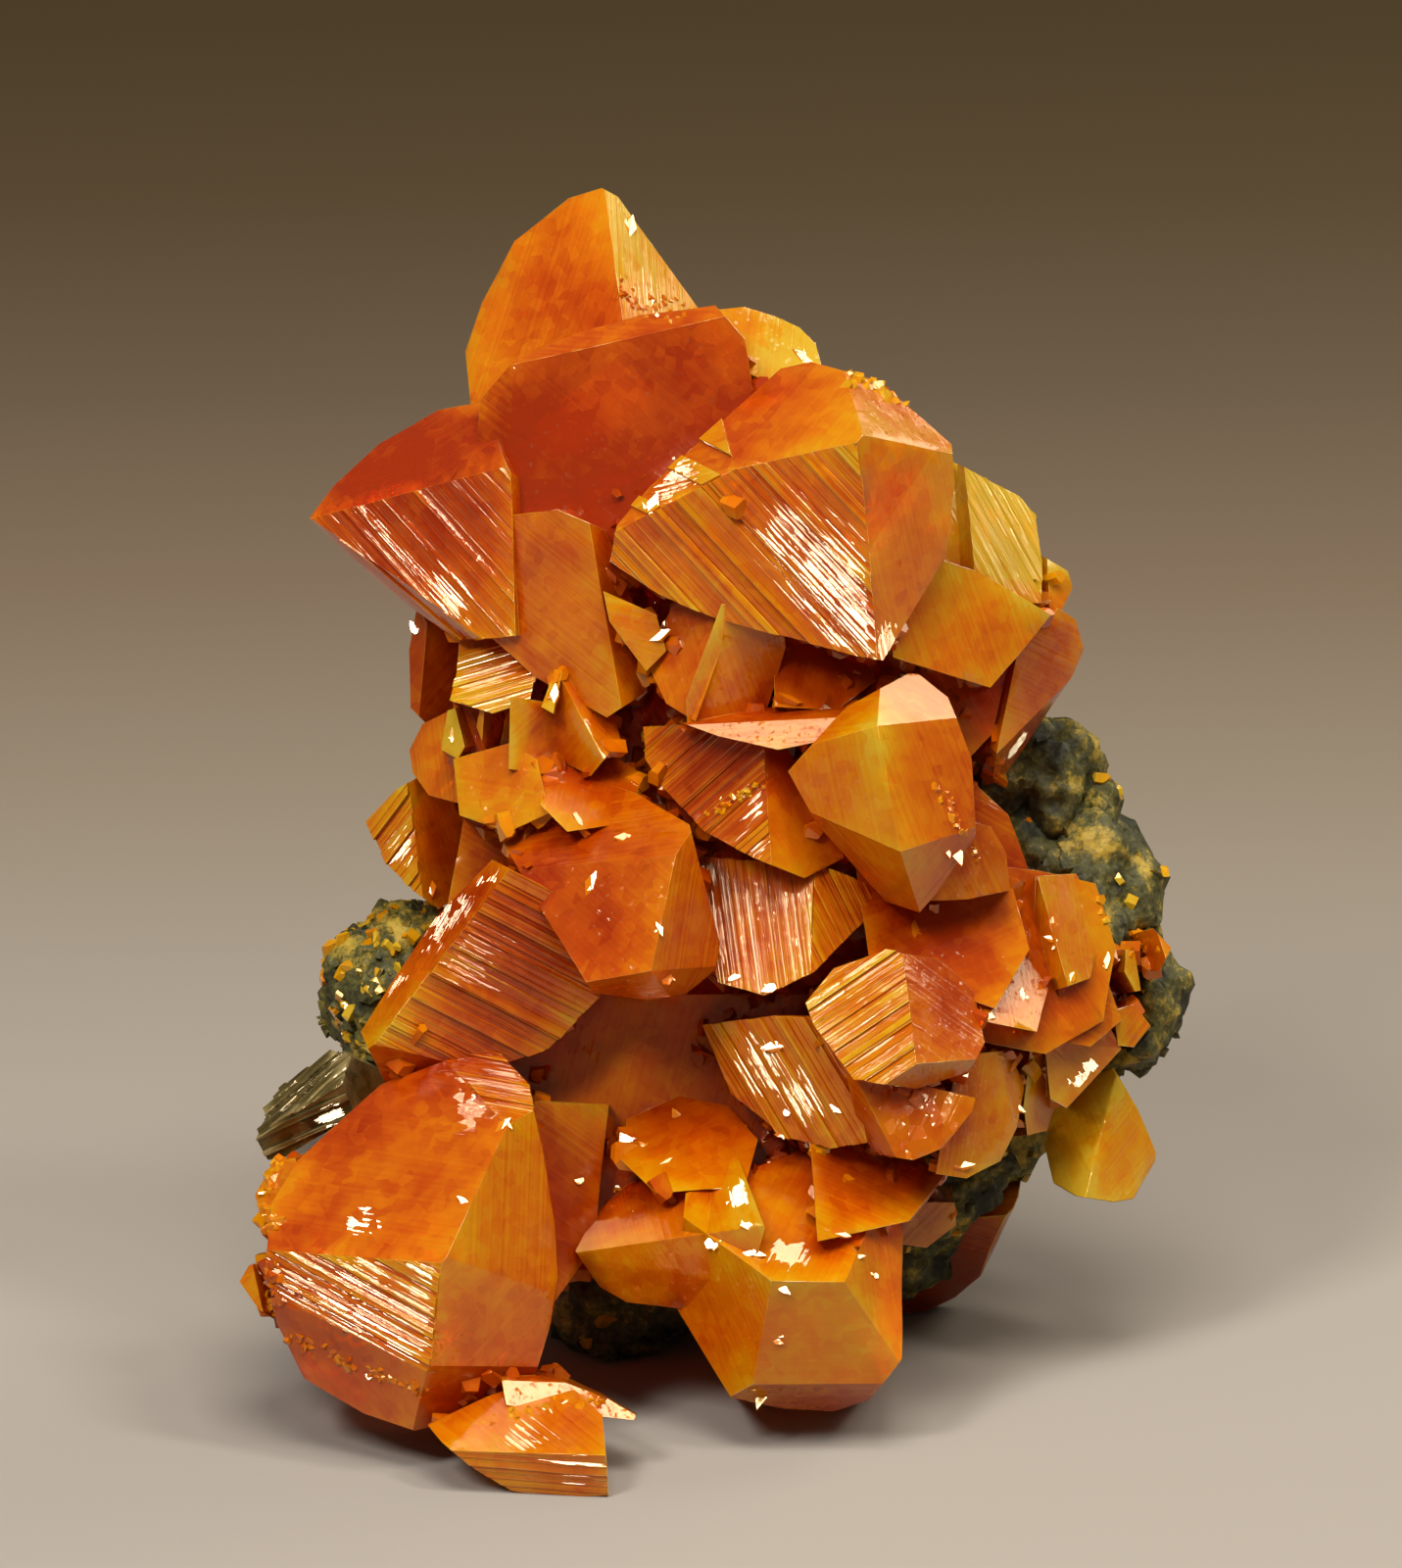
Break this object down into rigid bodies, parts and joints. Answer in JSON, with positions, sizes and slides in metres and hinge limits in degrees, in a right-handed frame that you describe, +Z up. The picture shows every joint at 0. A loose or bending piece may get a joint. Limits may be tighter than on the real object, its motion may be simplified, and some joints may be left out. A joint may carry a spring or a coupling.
{
  "type": "orpiment crystal cluster",
  "caption": "Loose natural orpiment specimen: intergrown striated orange crystals on dark grey-green matrix rock, standing free for display or study.",
  "frame": {"origin": "centre of the bounding box at the bottom, on the surface the specimen stands on", "axes": "+Z up and along the longest extent, +X to the right and -Y towards the viewer when seen from the front, which is the side with the crystals"},
  "size_m": [0.0288, 0.0284, 0.0357],
  "materials": {
    "orpiment": "resinous to adamantine, translucent orange, striated and partly frosted faces",
    "golden_orpiment": "resinous, translucent amber yellow",
    "olive_orpiment": "resinous, dark olive brown with pale striations",
    "matrix": "rough dark grey-green rock with yellow crusts"
  },
  "bodies": {
    "root": {"crystal_cluster": "orpiment", "golden_crystal": "golden_orpiment", "olive_crystal": "olive_orpiment", "red_crystal": "orpiment", "rear_crystals_upper": "orpiment", "rear_crystals_left": "orpiment", "rear_crystals_right": "orpiment", "matrix_rock": "matrix"}
  },
  "joints": []
}
